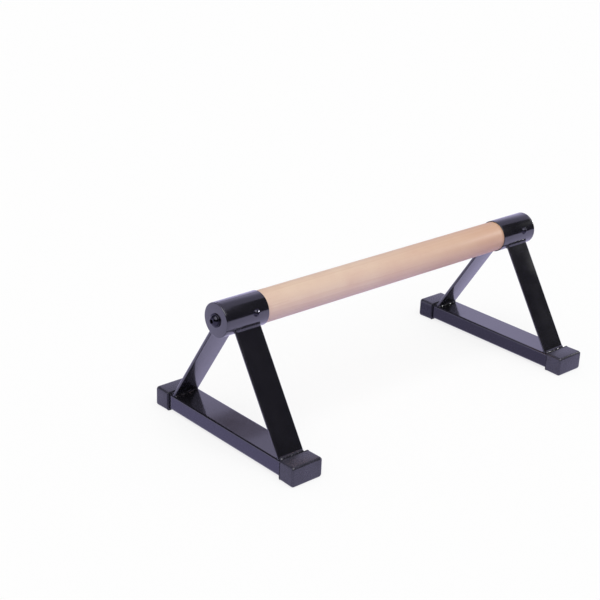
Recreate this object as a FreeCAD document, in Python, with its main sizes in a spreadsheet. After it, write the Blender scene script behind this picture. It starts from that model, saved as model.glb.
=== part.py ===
import FreeCAD, Part
import math
import os
import Sketcher

# Parallette bar: a wooden grip held at both ends in a sleeve on a welded A-frame.
# Millimetres. X runs along the grip, -Y is the front, +Z is up, and the floor is at zero.
# Both end frames are one weldment: the right one is the left one turned half round about Z.

# Driving sizes, in millimetres but for the one angle, which is in degrees
SIZES = {
    # whole object
    "length_over_plates": "545",
    "axis_height": "165",
    "base_depth": "262",
    # wooden grip
    "bar_diameter": "40",
    "bar_clearance": "0.2",
    # sleeve tube and the disc that closes it
    "sleeve_wall": "1",
    "sleeve_length": "60",
    "plate_thickness": "3",
    "plate_bevel": "1",
    # base rail, a rectangular tube
    "rail_width": "40",
    "rail_height": "20",
    "rail_wall": "1.5",
    "rail_corner": "2.5",
    # foot cap, slipped over the rail's end
    "cap_wall": "3",
    "cap_cover": "21",
    "cap_corner": "4",
    "cap_bevel": "1.5",
    # leg, a flat bar; the crown reach is where its outer face would cross the height of the grip's axis
    "leg_width": "38",
    "leg_thickness": "4",
    "leg_edge_break": "0.8",
    "crown_reach": "12.2",
    # fillet welds, and the room between a weld's toe and the foot cap
    "weld_size": "3.8",
    "weld_gap": "0.5",
    # bolt in each end plate, with its washer and its threaded bush in the wood; the bolt ends inside the bush
    "bolt_diameter": "8",
    "bolt_head_diameter": "14",
    "bolt_head_height": "4.4",
    "bolt_crown_diameter": "7.4",
    "bolt_dome_radius": "7.5",
    "bolt_socket_width": "5",
    "bolt_socket_depth": "2.6",
    "bolt_gap": "0.25",
    "washer_diameter": "17",
    "washer_thickness": "1.6",
    "insert_diameter": "12",
    "insert_length": "16",
    "thread_gap": "0.1",
    "bolt_tip_room": "0.6",
    # screws through the sleeve's side into the wood
    "screw_diameter": "4.2",
    "screw_length": "13",
    "screw_head_diameter": "9.5",
    "screw_head_height": "3.2",
    "screw_crown_diameter": "3",
    "screw_dome_radius": "6",
    "screw_gap": "0.15",
    "screw_setback": "19",
    "screw_tilt": "15",
    # how far a cutting tool runs past the face it opens
    "cut_overrun": "1",
}

# What follows from the driving sizes
WORKED = {
    # grip and sleeve
    "bar_length": "sizes.length_over_plates - 2 * sizes.plate_thickness",
    "bar_half": "worked.bar_length / 2",
    "sleeve_bore": "sizes.bar_diameter + 2 * sizes.bar_clearance",
    "sleeve_diameter": "worked.sleeve_bore + 2 * sizes.sleeve_wall",
    "sleeve_radius": "worked.sleeve_diameter / 2",
    "frame_centre": "worked.bar_half - sizes.sleeve_length / 2",
    # rail and cap
    "rail_top": "sizes.cap_wall + sizes.rail_height",
    "rail_middle": "sizes.cap_wall + sizes.rail_height / 2",
    "rail_length": "sizes.base_depth - 2 * sizes.cap_wall",
    "rail_bore_width": "sizes.rail_width - 2 * sizes.rail_wall",
    "rail_bore_height": "sizes.rail_height - 2 * sizes.rail_wall",
    "rail_bore_corner": "sizes.rail_corner - sizes.rail_wall",
    "cap_width": "sizes.rail_width + 2 * sizes.cap_wall",
    "cap_height": "sizes.rail_height + 2 * sizes.cap_wall",
    "cap_length": "sizes.cap_cover + sizes.cap_wall",
    "cap_mouth_reach": "sizes.base_depth / 2 - worked.cap_length",
    # leg: its outer face runs from the foot to the crown reach at the height of the axis
    "foot_reach": "worked.cap_mouth_reach - sizes.weld_gap - sizes.weld_size",
    "leg_spread": "worked.foot_reach - sizes.crown_reach",
    "leg_rise": "sizes.axis_height - worked.rail_top",
    "leg_face": "sqrt(worked.leg_spread ^ 2 + worked.leg_rise ^ 2)",
    "lean_sine": "worked.leg_spread / worked.leg_face",
    "lean_cosine": "worked.leg_rise / worked.leg_face",
    "inner_foot_reach": "worked.foot_reach - sizes.leg_thickness / worked.lean_cosine",
    # distances of the leg's two faces from the axis, and how far along the leg each meets the sleeve
    "outer_offset": "sizes.crown_reach * worked.lean_cosine",
    "inner_offset": "worked.outer_offset - sizes.leg_thickness",
    "outer_seat": "sqrt(worked.sleeve_radius ^ 2 - worked.outer_offset ^ 2)",
    "inner_seat": "sqrt(worked.sleeve_radius ^ 2 - worked.inner_offset ^ 2)",
    "outer_crown_reach": "worked.outer_seat * worked.lean_sine + worked.outer_offset * worked.lean_cosine",
    "outer_crown_drop": "worked.outer_seat * worked.lean_cosine - worked.outer_offset * worked.lean_sine",
    "outer_crown_height": "sizes.axis_height - worked.outer_crown_drop",
    "inner_crown_reach": "worked.inner_seat * worked.lean_sine + worked.inner_offset * worked.lean_cosine",
    "inner_crown_drop": "worked.inner_seat * worked.lean_cosine - worked.inner_offset * worked.lean_sine",
    "inner_crown_height": "sizes.axis_height - worked.inner_crown_drop",
    # foot welds: a toe on the rail and one on the leg
    "weld_length": "sizes.leg_width - 2 * sizes.leg_edge_break",
    "outer_toe_reach": "worked.foot_reach + sizes.weld_size",
    "inner_toe_reach": "worked.inner_foot_reach - sizes.weld_size",
    "outer_foot_lap_reach": "worked.foot_reach - sizes.weld_size * worked.lean_sine",
    "inner_foot_lap_reach": "worked.inner_foot_reach - sizes.weld_size * worked.lean_sine",
    "foot_lap_height": "worked.rail_top + sizes.weld_size * worked.lean_cosine",
    # sleeve welds: a toe on the leg, and one on the sleeve, turned about the axis by the weld's chord
    "outer_lap_reach": "worked.outer_crown_reach + sizes.weld_size * worked.lean_sine",
    "outer_lap_height": "worked.outer_crown_height - sizes.weld_size * worked.lean_cosine",
    "inner_lap_reach": "worked.inner_crown_reach + sizes.weld_size * worked.lean_sine",
    "inner_lap_height": "worked.inner_crown_height - sizes.weld_size * worked.lean_cosine",
    "chord_share": "sizes.weld_size / worked.sleeve_radius",
    "turn_cosine": "1 - worked.chord_share ^ 2 / 2",
    "turn_sine": "worked.chord_share * sqrt(1 - worked.chord_share ^ 2 / 4)",
    "outer_toe_y":
        "worked.outer_crown_reach * worked.turn_cosine + worked.outer_crown_drop * worked.turn_sine",
    "outer_toe_drop":
        "worked.outer_crown_drop * worked.turn_cosine - worked.outer_crown_reach * worked.turn_sine",
    "outer_toe_height": "sizes.axis_height - worked.outer_toe_drop",
    "inner_toe_y":
        "worked.inner_crown_reach * worked.turn_cosine - worked.inner_crown_drop * worked.turn_sine",
    "inner_toe_drop":
        "worked.inner_crown_drop * worked.turn_cosine + worked.inner_crown_reach * worked.turn_sine",
    "inner_toe_height": "sizes.axis_height - worked.inner_toe_drop",
    # end bolt, washer and bush, measured along the grip
    "bolt_radius": "sizes.bolt_diameter / 2",
    "bolt_hole": "sizes.bolt_diameter + 2 * sizes.bolt_gap",
    "bolt_head_radius": "sizes.bolt_head_diameter / 2",
    "bolt_crown_radius": "sizes.bolt_crown_diameter / 2",
    "bolt_length":
        "sizes.washer_thickness + sizes.plate_thickness + sizes.insert_length - sizes.bolt_tip_room",
    "bolt_socket_corners": "2 * sizes.bolt_socket_width / sqrt(3)",
    "bolt_seat": "sizes.length_over_plates / 2 + sizes.washer_thickness",
    "plate_face": "sizes.length_over_plates / 2",
    "insert_bore": "sizes.bolt_diameter + 2 * sizes.thread_gap",
    "insert_hole_radius": "sizes.insert_diameter / 2 + sizes.thread_gap",
    # side screws, measured outwards from the grip's axis
    "screw_radius": "sizes.screw_diameter / 2",
    "screw_head_radius": "sizes.screw_head_diameter / 2",
    "screw_crown_radius": "sizes.screw_crown_diameter / 2",
    "screw_top": "worked.sleeve_radius + sizes.screw_head_height",
    "screw_tip": "worked.sleeve_radius - sizes.screw_length",
    "screw_hole_radius": "worked.screw_radius + sizes.screw_gap",
    "screw_swing": "90 - sizes.screw_tilt",
    "screw_offset": "sizes.sleeve_length / 2 - sizes.screw_setback",
    "inner_screw_place": "worked.frame_centre - worked.screw_offset",
    "outer_screw_place": "worked.frame_centre + worked.screw_offset",
    "pilot_floor": "worked.screw_tip - sizes.screw_gap",
    "pilot_reach": "worked.pilot_floor * cos(sizes.screw_tilt * 1 deg)",
    "pilot_lift": "worked.pilot_floor * sin(sizes.screw_tilt * 1 deg)",
    "pilot_depth": "worked.sleeve_radius - worked.pilot_floor",
    "sleeve_hole_depth": "worked.sleeve_radius + sizes.cut_overrun",
}

X_AXIS = FreeCAD.Vector(1, 0, 0)
Z_AXIS = FreeCAD.Vector(0, 0, 1)
ORIGIN = FreeCAD.Vector(0, 0, 0)
STRAIGHT = FreeCAD.Rotation()
HALF_TURN = FreeCAD.Rotation(Z_AXIS, 180)
TO_PLUS_X = FreeCAD.Rotation(FreeCAD.Vector(0, 1, 0), 90)
TO_MINUS_X = FreeCAD.Rotation(FreeCAD.Vector(0, -1, 0), 90)

# How a sketch counts the points of an edge, its own axes and its origin
START, END, CENTRE = range(1, 4)
H_AXIS, V_AXIS = range(-1, -3, -1)
ROOT_POINT = (H_AXIS, START)

doc = FreeCAD.newDocument("parallette_bar")
sizes = doc.addObject("Spreadsheet::Sheet", "sizes")
for row, (alias, amount) in enumerate(SIZES.items(), start=1):
    sizes.set(f"A{row}", alias)
    sizes.set(f"B{row}", amount)
    sizes.setAlias(f"B{row}", alias)
doc.recompute()

worked = doc.addObject("App::VarSet", "worked")
for alias, formula in WORKED.items():
    worked.addProperty("App::PropertyFloat", alias)
    worked.setExpression(alias, formula)
doc.recompute()

nodes = {}


def source(name):
    """The expression that reads a named size."""
    return f"sizes.{name}" if name in SIZES else f"worked.{name}"


def number(name):
    """A named size as a number; a leading minus turns its sign, and zero stays zero."""
    if name == 0:
        return 0.0
    if name.startswith("-"):
        return -number(name[1:])
    return float(sizes.get(name) if name in SIZES else getattr(worked, name))


def bind(thing, path, name):
    """Ties one property to a named size, with its sign."""
    sign = "-" if name.startswith("-") else ""
    thing.setExpression(path, sign + source(name.lstrip("-")))


def place(thing, rotation, **where):
    """Turns an object, then ties x, y and z, as far as given, to named sizes."""
    spot = FreeCAD.Vector(*(number(where.get(axis, 0)) for axis in "xyz"))
    thing.Placement = FreeCAD.Placement(spot, rotation)
    for axis, name in where.items():
        bind(thing, f"Placement.Base.{axis}", name)
    return thing


def new_body(name):
    """An empty body."""
    return doc.addObject("PartDesign::Body", name)


def new_sketch(body, role, name):
    """A sketch on one of the body's own origin planes."""
    plane = next(item for item in body.Origin.OriginFeatures if item.Role == role)
    sketch = body.newObject("Sketcher::SketchObject", name)
    sketch.AttachmentSupport = [(plane, "")]
    sketch.MapMode = "FlatFace"
    return sketch


def measure(sketch, kind, geometry, name):
    """Adds a dimension whose value is a named size."""
    index = sketch.addConstraint(Sketcher.Constraint(kind, *geometry, number(name)))
    bind(sketch, f"Constraints[{index}]", name)


def fix_point(sketch, edge, end, across, up):
    """Holds one end of an edge at a named place across and up from the sketch's origin."""
    for name, axis, kind in ((across, V_AXIS, "DistanceX"), (up, H_AXIS, "DistanceY")):
        if name == 0:
            sketch.addConstraint(Sketcher.Constraint("PointOnObject", edge, end, axis))
        elif name.startswith("-"):
            measure(sketch, kind, (edge, end, *ROOT_POINT), name[1:])
        else:
            measure(sketch, kind, (*ROOT_POINT, edge, end), name)


def arc_between(first, last, radius, turn):
    """The short arc from first to last, whose centre lies to the left or right of the way there."""
    chord = last - first
    rise = math.sqrt(radius ** 2 - (chord.Length / 2) ** 2)
    left = FreeCAD.Vector(-chord.y, chord.x, 0).normalize()
    middle = (first + last) / 2
    centre = middle + left * rise if turn == "left" else middle - left * rise
    begin, finish = (first, last) if turn == "left" else (last, first)
    angles = [math.atan2(point.y - centre.y, point.x - centre.x) for point in (begin, finish)]
    return Part.ArcOfCircle(Part.Circle(centre, Z_AXIS, radius), *angles)


def outline(sketch, corners):
    """A closed outline through named corners.

    A corner whose next edge is an arc also gives the arc's radius by name and the side of its centre.
    """
    points = [FreeCAD.Vector(number(across), number(up), 0) for across, up, *_ in corners]
    ends = []
    for spot, (_, _, *arc) in enumerate(corners):
        first, last = points[spot], points[(spot + 1) % len(points)]
        if arc:
            radius, turn = arc
            edge = sketch.addGeometry(arc_between(first, last, number(radius), turn))
            ends.append((edge, START, END) if turn == "left" else (edge, END, START))
        else:
            edge = sketch.addGeometry(Part.LineSegment(first, last))
            ends.append((edge, START, END))
    for spot, (edge, begin, finish) in enumerate(ends):
        following, its_begin, _ = ends[(spot + 1) % len(ends)]
        sketch.addConstraint(Sketcher.Constraint("Coincident", edge, finish, following, its_begin))
        across, up, *arc = corners[spot]
        fix_point(sketch, edge, begin, across, up)
        if arc:
            measure(sketch, "Radius", (edge,), arc[0])


def ring(sketch, *diameters):
    """Circles about the sketch's origin."""
    for diameter in diameters:
        circle = sketch.addGeometry(Part.Circle(ORIGIN, Z_AXIS, number(diameter) / 2))
        sketch.addConstraint(Sketcher.Constraint("Coincident", circle, CENTRE, *ROOT_POINT))
        measure(sketch, "Diameter", (circle,), diameter)


def rounded_rectangle(sketch, width, height, radius):
    """A rectangle with round corners, centred on the sketch's origin."""
    half_width, half_height, round_off = number(width) / 2, number(height) / 2, number(radius)
    corners = ((1, 1), (-1, 1), (-1, -1), (1, -1))
    arcs, sides = [], []
    for quarter, (across, up) in enumerate(corners):
        centre = FreeCAD.Vector(across * (half_width - round_off), up * (half_height - round_off), 0)
        begin = quarter * math.pi / 2
        arc = Part.ArcOfCircle(Part.Circle(centre, Z_AXIS, round_off), begin, begin + math.pi / 2)
        arcs.append(sketch.addGeometry(arc))
    for quarter in range(len(corners)):
        following = (quarter + 1) % len(corners)
        begin = sketch.getPoint(arcs[quarter], END)
        finish = sketch.getPoint(arcs[following], START)
        sides.append(sketch.addGeometry(Part.LineSegment(begin, finish)))
    for quarter, side in enumerate(sides):
        following = (quarter + 1) % len(sides)
        sketch.addConstraint(Sketcher.Constraint("Tangent", arcs[quarter], END, side, START))
        sketch.addConstraint(Sketcher.Constraint("Tangent", side, END, arcs[following], START))
    for arc in arcs[1:]:
        sketch.addConstraint(Sketcher.Constraint("Equal", arcs[0], arc))
    top, left, bottom, right = sides
    sketch.addConstraint(Sketcher.Constraint("Symmetric", top, START, top, END, V_AXIS))
    sketch.addConstraint(Sketcher.Constraint("Symmetric", left, START, left, END, H_AXIS))
    sketch.addConstraint(Sketcher.Constraint("Horizontal", bottom))
    sketch.addConstraint(Sketcher.Constraint("Vertical", right))
    measure(sketch, "Radius", (arcs[0],), radius)
    measure(sketch, "DistanceX", (left, START, right, START), width)
    measure(sketch, "DistanceY", (bottom, START, top, START), height)


def hexagon(sketch, across_corners):
    """A regular hexagon about the sketch's origin, with one corner straight up."""
    radius = number(across_corners) / 2
    guide = sketch.addGeometry(Part.Circle(ORIGIN, Z_AXIS, radius), True)
    sketch.addConstraint(Sketcher.Constraint("Coincident", guide, CENTRE, *ROOT_POINT))
    measure(sketch, "Diameter", (guide,), across_corners)
    corners = []
    for sixth in range(6):
        angle = math.pi / 2 + sixth * math.pi / 3
        corners.append(FreeCAD.Vector(radius * math.cos(angle), radius * math.sin(angle), 0))
    sides = [sketch.addGeometry(Part.LineSegment(corners[spot - 1], corners[spot])) for spot in range(6)]
    for spot, side in enumerate(sides):
        sketch.addConstraint(Sketcher.Constraint("Coincident", sides[spot - 1], END, side, START))
        sketch.addConstraint(Sketcher.Constraint("PointOnObject", side, END, guide))
        if spot > 0:
            sketch.addConstraint(Sketcher.Constraint("Equal", sides[0], side))
    sketch.addConstraint(Sketcher.Constraint("PointOnObject", sides[0], END, V_AXIS))


def pad(body, sketch, length, symmetric=False, backwards=False):
    """Draws a sketch out to a named length."""
    feature = body.newObject("PartDesign::Pad", f"{body.Name}_pad")
    feature.Profile = sketch
    feature.SideType = "Symmetric" if symmetric else "One side"
    feature.Reversed = backwards
    bind(feature, "Length", length)
    doc.recompute()
    return feature


def pocket(body, sketch, depth, backwards=False):
    """Cuts a sketch in to a named depth."""
    before = body.Shape.Volume
    feature = body.newObject("PartDesign::Pocket", f"{body.Name}_pocket")
    feature.Profile = sketch
    feature.Reversed = backwards
    bind(feature, "Length", depth)
    doc.recompute()
    if body.Shape.Volume >= before:
        raise RuntimeError(f"{feature.Name} removes nothing")
    return feature


def revolve(body, sketch, axis):
    """Turns a sketch right round one of its own axes."""
    feature = body.newObject("PartDesign::Revolution", f"{body.Name}_revolution")
    feature.Profile = sketch
    feature.ReferenceAxis = (sketch, [axis])
    doc.recompute()
    return feature


def drill(body, radius, depth, rotation, angle=None, **where):
    """Bores a hole along the tool's own Z, which the rotation turns into place."""
    before = body.Shape.Volume
    tool = body.newObject("PartDesign::SubtractiveCylinder", f"{body.Name}_bore")
    bind(tool, "Radius", radius)
    bind(tool, "Height", depth)
    place(tool, rotation, **where)
    if angle:
        bind(tool, "Placement.Rotation.Angle", angle)
    doc.recompute()
    if body.Shape.Volume >= before:
        raise RuntimeError(f"{tool.Name} removes nothing")
    return tool


def bevel(body, size, chosen):
    """Chamfers the edges of the body's last feature for which chosen holds."""
    base = body.Tip
    names = [f"Edge{spot}" for spot, edge in enumerate(base.Shape.Edges, start=1) if chosen(edge)]
    if not names:
        raise RuntimeError(f"{body.Name} has no edge to bevel")
    feature = body.newObject("PartDesign::Chamfer", f"{body.Name}_chamfer")
    feature.Base = (base, names)
    bind(feature, "Size", size)
    doc.recompute()
    return feature


def near(first, second):
    """Whether two lengths are the same."""
    return math.isclose(first, second, abs_tol=Part.Precision.approximation())


def flat_at(edge, axis, amount):
    """Whether an edge lies wholly at one coordinate."""
    box = edge.BoundBox
    return near(getattr(box, axis + "Min"), amount) and near(getattr(box, axis + "Max"), amount)


def add_node(name, *solids):
    """Registers a sub-part under its name; several alike become one group of separate solids."""
    if len(solids) == 1:
        thing = solids[0]
    else:
        thing = doc.addObject("Part::Compound", f"{name}_group")
        thing.Links = list(solids)
    thing.Label = name
    nodes[name] = thing


# Which way an end frame faces: its name, the sign of its X, and its turn about Z
ENDS = (("left", "-", STRAIGHT), ("right", "", HALF_TURN))
# Which way a leg or cap faces on its frame, as modelled for the rear
FACES = (("front", "-", HALF_TURN), ("rear", "", STRAIGHT))
# The side screws' swing from straight up: forwards for the front ones, backwards for the rear ones
SWING_FRONT = FreeCAD.Rotation(X_AXIS, number("screw_swing"))
SWING_REAR = FreeCAD.Rotation(-X_AXIS, number("screw_swing"))


def grip_bar():
    """The turned dowel, bored at both ends for the bushes and from the sides for the screws."""
    body = new_body("dowel")
    sketch = new_sketch(body, "YZ_Plane", "dowel_section")
    ring(sketch, "bar_diameter")
    pad(body, sketch, "bar_length", symmetric=True)
    for sign, inwards in (("-", TO_PLUS_X), ("", TO_MINUS_X)):
        drill(body, "insert_hole_radius", "insert_length", inwards, x=f"{sign}bar_half")
    for x, y, swing in (
        ("-inner_screw_place", "-pilot_reach", SWING_FRONT),
        ("-outer_screw_place", "pilot_reach", SWING_REAR),
        ("outer_screw_place", "-pilot_reach", SWING_FRONT),
        ("inner_screw_place", "pilot_reach", SWING_REAR),
    ):
        drill(body, "screw_hole_radius", "pilot_depth", swing, "screw_swing", x=x, y=y, z="pilot_lift")
    add_node("grip_bar", place(body, STRAIGHT, z="axis_height"))


def sleeve(end, sign, turn):
    """Round tube over the grip's end, drilled on both sides for the staggered screws."""
    body = new_body(f"{end}_tube")
    sketch = new_sketch(body, "YZ_Plane", f"{end}_tube_section")
    ring(sketch, "sleeve_diameter", "sleeve_bore")
    pad(body, sketch, "sleeve_length", symmetric=True)
    drill(body, "screw_hole_radius", "sleeve_hole_depth", SWING_FRONT, "screw_swing", x="screw_offset")
    drill(body, "screw_hole_radius", "sleeve_hole_depth", SWING_REAR, "screw_swing", x="-screw_offset")
    add_node(f"{end}_sleeve", place(body, turn, x=f"{sign}frame_centre", z="axis_height"))


def end_plate(end, sign, turn):
    """Disc on the sleeve's outer end, with a bevelled rim and the bolt's hole."""
    body = new_body(f"{end}_disc")
    sketch = new_sketch(body, "YZ_Plane", f"{end}_disc_section")
    ring(sketch, "sleeve_diameter", "bolt_hole")
    pad(body, sketch, "plate_thickness", backwards=True)
    face = -number("plate_thickness")
    rim = number("sleeve_radius")
    bevel(body, "plate_bevel", lambda edge: flat_at(edge, "X", face) and near(edge.BoundBox.YMax, rim))
    add_node(f"{end}_end_plate", place(body, turn, x=f"{sign}bar_half", z="axis_height"))


def leg(end, face, sign, turn):
    """Flat bar from the rail's top to the sleeve, its top end cut to the sleeve's curve."""
    body = new_body(f"{end}_{face}_bar")
    sketch = new_sketch(body, "YZ_Plane", f"{end}_{face}_bar_profile")
    corners = (
        ("foot_reach", "rail_top"),
        ("outer_crown_reach", "outer_crown_height", "sleeve_radius", "right"),
        ("inner_crown_reach", "inner_crown_height"),
        ("inner_foot_reach", "rail_top"),
    )
    outline(sketch, corners)
    pad(body, sketch, "leg_width", symmetric=True)
    edge_of_bar = number("leg_width") / 2
    half_face = number("leg_rise") / 2
    bevel(body, "leg_edge_break",
          lambda edge: near(abs(edge.BoundBox.Center.x), edge_of_bar) and edge.BoundBox.ZLength > half_face)
    add_node(f"{end}_{face}_leg", place(body, turn, x=f"{sign}frame_centre"))


def base_rail(end, sign):
    """Rectangular tube along the floor, open at both ends under the caps."""
    body = new_body(f"{end}_box_tube")
    sketch = new_sketch(body, "XZ_Plane", f"{end}_box_tube_section")
    rounded_rectangle(sketch, "rail_width", "rail_height", "rail_corner")
    rounded_rectangle(sketch, "rail_bore_width", "rail_bore_height", "rail_bore_corner")
    pad(body, sketch, "rail_length", symmetric=True)
    add_node(f"{end}_base_rail", place(body, STRAIGHT, x=f"{sign}frame_centre", z="rail_middle"))


def foot_cap(end, face, sign, side, turn):
    """Moulded cap with a pocket for the rail's end, rounded along its length and bevelled at its end."""
    body = new_body(f"{end}_{face}_cap")
    block = new_sketch(body, "XZ_Plane", f"{end}_{face}_cap_section")
    rounded_rectangle(block, "cap_width", "cap_height", "cap_corner")
    pad(body, block, "cap_length", backwards=True)
    closed_end = number("cap_length")
    bevel(body, "cap_bevel", lambda edge: flat_at(edge, "Y", closed_end))
    hollow = new_sketch(body, "XZ_Plane", f"{end}_{face}_cap_hollow")
    rounded_rectangle(hollow, "rail_width", "rail_height", "rail_corner")
    pocket(body, hollow, "cap_cover")
    add_node(f"{end}_{face}_foot_cap",
             place(body, turn, x=f"{sign}frame_centre", y=f"{side}cap_mouth_reach", z="rail_middle"))


def bead_pair(end, face, sign, turn, where, outer, inner):
    """The two welds along one end of a leg, outside and inside, as one body of two runs."""
    body = new_body(f"{end}_{face}_{where}_beads")
    body.AllowCompound = True
    sketch = new_sketch(body, "YZ_Plane", f"{end}_{face}_{where}_bead_profile")
    outline(sketch, outer)
    outline(sketch, inner)
    pad(body, sketch, "weld_length", symmetric=True)
    return place(body, turn, x=f"{sign}frame_centre")


def welds(end, sign):
    """Fillet welds of one frame: legs to sleeve, and legs to rail."""
    crown_outer = (
        ("outer_crown_reach", "outer_crown_height"),
        ("outer_lap_reach", "outer_lap_height", "weld_size", "left"),
        ("outer_toe_y", "outer_toe_height", "sleeve_radius", "right"),
    )
    crown_inner = (
        ("inner_crown_reach", "inner_crown_height", "sleeve_radius", "right"),
        ("inner_toe_y", "inner_toe_height", "weld_size", "left"),
        ("inner_lap_reach", "inner_lap_height"),
    )
    foot_outer = (
        ("foot_reach", "rail_top"),
        ("outer_toe_reach", "rail_top", "weld_size", "left"),
        ("outer_foot_lap_reach", "foot_lap_height"),
    )
    foot_inner = (
        ("inner_foot_reach", "rail_top"),
        ("inner_foot_lap_reach", "foot_lap_height", "weld_size", "left"),
        ("inner_toe_reach", "rail_top"),
    )
    for where, outer, inner in (("sleeve", crown_outer, crown_inner), ("foot", foot_outer, foot_inner)):
        pairs = [bead_pair(end, face, sign, turn, where, outer, inner) for face, _, turn in FACES]
        add_node(f"{end}_{where}_welds", *pairs)


def end_bolts():
    """Button-headed bolts through the end plates, with a hexagon socket."""
    bolts = []
    for end, sign, turn in ENDS:
        body = new_body(f"{end}_bolt")
        sketch = new_sketch(body, "XZ_Plane", f"{end}_bolt_profile")
        corners = (
            ("-bolt_head_height", 0),
            ("-bolt_head_height", "bolt_crown_radius", "bolt_dome_radius", "right"),
            (0, "bolt_head_radius"),
            (0, "bolt_radius"),
            ("bolt_length", "bolt_radius"),
            ("bolt_length", 0),
        )
        outline(sketch, corners)
        revolve(body, sketch, "H_Axis")
        socket = new_sketch(body, "YZ_Plane", f"{end}_bolt_socket")
        bind(socket, "AttachmentOffset.Base.z", "-bolt_head_height")
        hexagon(socket, "bolt_socket_corners")
        pocket(body, socket, "bolt_socket_depth", backwards=True)
        bolts.append(place(body, turn, x=f"{sign}bolt_seat", z="axis_height"))
    add_node("end_bolts", *bolts)


def end_washers():
    """Flat washers between the bolt's head and the end plate."""
    washers = []
    for end, sign, turn in ENDS:
        body = new_body(f"{end}_washer")
        sketch = new_sketch(body, "YZ_Plane", f"{end}_washer_section")
        ring(sketch, "washer_diameter", "bolt_hole")
        pad(body, sketch, "washer_thickness", backwards=True)
        washers.append(place(body, turn, x=f"{sign}plate_face", z="axis_height"))
    add_node("end_washers", *washers)


def insert_nuts():
    """Threaded bushes in the grip's end grain."""
    bushes = []
    for end, sign, turn in ENDS:
        body = new_body(f"{end}_bush")
        sketch = new_sketch(body, "YZ_Plane", f"{end}_bush_section")
        ring(sketch, "insert_diameter", "insert_bore")
        pad(body, sketch, "insert_length")
        bushes.append(place(body, turn, x=f"{sign}bar_half", z="axis_height"))
    add_node("insert_nuts", *bushes)


def sleeve_screws():
    """Dome-headed screws; each is turned about the grip's axis, from which its profile is measured."""
    screws = []
    for name, x, swing in (
        ("left_front", "-inner_screw_place", SWING_FRONT),
        ("left_rear", "-outer_screw_place", SWING_REAR),
        ("right_front", "outer_screw_place", SWING_FRONT),
        ("right_rear", "inner_screw_place", SWING_REAR),
    ):
        body = new_body(f"{name}_screw")
        sketch = new_sketch(body, "XZ_Plane", f"{name}_screw_profile")
        corners = (
            (0, "screw_tip"),
            ("screw_radius", "screw_tip"),
            ("screw_radius", "sleeve_radius"),
            ("screw_head_radius", "sleeve_radius", "screw_dome_radius", "left"),
            ("screw_crown_radius", "screw_top"),
            (0, "screw_top"),
        )
        outline(sketch, corners)
        revolve(body, sketch, "V_Axis")
        place(body, swing, x=x, z="axis_height")
        bind(body, "Placement.Rotation.Angle", "screw_swing")
        screws.append(body)
    add_node("sleeve_screws", *screws)


grip_bar()
for end, sign, turn in ENDS:
    sleeve(end, sign, turn)
    end_plate(end, sign, turn)
    base_rail(end, sign)
    for face, side, facing in FACES:
        leg(end, face, sign, facing)
        foot_cap(end, face, sign, side, facing)
    welds(end, sign)
end_bolts()
end_washers()
insert_nuts()
sleeve_screws()
doc.recompute()

for thing in doc.Objects:
    if {"Invalid", "Error"} & set(thing.State):
        raise RuntimeError(f"{thing.Name} failed: {thing.State}")
    if thing.isDerivedFrom("Sketcher::SketchObject") and not thing.FullyConstrained:
        raise RuntimeError(f"{thing.Name} is not fully held")

os.makedirs("parts", exist_ok=True)
for name, thing in nodes.items():
    shape = thing.Shape
    if shape.isNull() or not shape.isValid():
        raise RuntimeError(f"{name} has no sound shape")
    shape.exportStep(f"parts/{name}.step")
    print(f"{name}: {len(shape.Solids)} solids, {shape.Volume:.0f} mm3")
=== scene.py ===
"""Looks of a parallette bar: a beech grip in black enamelled end frames with rubber foot caps.

Metres, X along the grip, -Y the front, +Z up, floor at zero.
"""
import logging
import math
from dataclasses import dataclass, field
from enum import Enum
from functools import partial
from typing import Any, Callable, Iterable, Sequence

import bmesh
import bpy
from bpy.types import Material, Mesh, Node, NodeSocket, NodeTree, Object
from mathutils import Matrix, Vector


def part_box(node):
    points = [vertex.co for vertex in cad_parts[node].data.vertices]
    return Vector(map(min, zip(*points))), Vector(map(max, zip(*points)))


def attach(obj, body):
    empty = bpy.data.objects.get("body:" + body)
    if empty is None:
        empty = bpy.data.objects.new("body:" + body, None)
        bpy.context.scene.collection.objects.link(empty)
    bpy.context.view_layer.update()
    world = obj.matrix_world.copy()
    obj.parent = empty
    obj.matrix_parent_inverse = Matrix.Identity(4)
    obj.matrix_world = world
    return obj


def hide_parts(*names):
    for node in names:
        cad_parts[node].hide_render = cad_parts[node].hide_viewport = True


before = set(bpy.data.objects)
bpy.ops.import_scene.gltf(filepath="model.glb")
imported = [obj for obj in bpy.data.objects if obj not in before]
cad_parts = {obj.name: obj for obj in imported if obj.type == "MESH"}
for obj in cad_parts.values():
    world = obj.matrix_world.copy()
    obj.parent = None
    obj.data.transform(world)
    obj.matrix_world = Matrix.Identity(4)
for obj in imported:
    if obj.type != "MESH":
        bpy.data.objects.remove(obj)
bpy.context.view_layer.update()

LOG = logging.getLogger("parallette_bar")
MM = 0.001
BODY = "root"
# Edges that turn by more than this stay crisp
CRISP_EDGE = math.radians(32)
# Points that lie nearer than this are one point
SAME_POINT = 0.002 * MM
# Where nearly all of a noise texture's values lie
NOISE = (0.3, 0.7)
# The length of a Wave texture's wave at a scale of one
WAVE_LENGTH = 2 * math.pi / 20
# The Mix node's sockets, which go by number: A and B are called the same for every kind of value
FACTOR, NUMBER_A, NUMBER_B = 0, 2, 3
VECTOR_A, VECTOR_B, VECTOR_OUT = 4, 5, 1
COLOUR_A, COLOUR_B, COLOUR_OUT = 6, 7, 2

Point = tuple[float, float]
Span = tuple[float, float]
Place = tuple[float, float, float]
Ring = list[Vector]
# A weld's root and its two toes, as Y and Z
WeldRun = tuple[Point, Point, Point]
# Adds a node to the tree that it was made for
Adder = Callable[..., Node]


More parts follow.
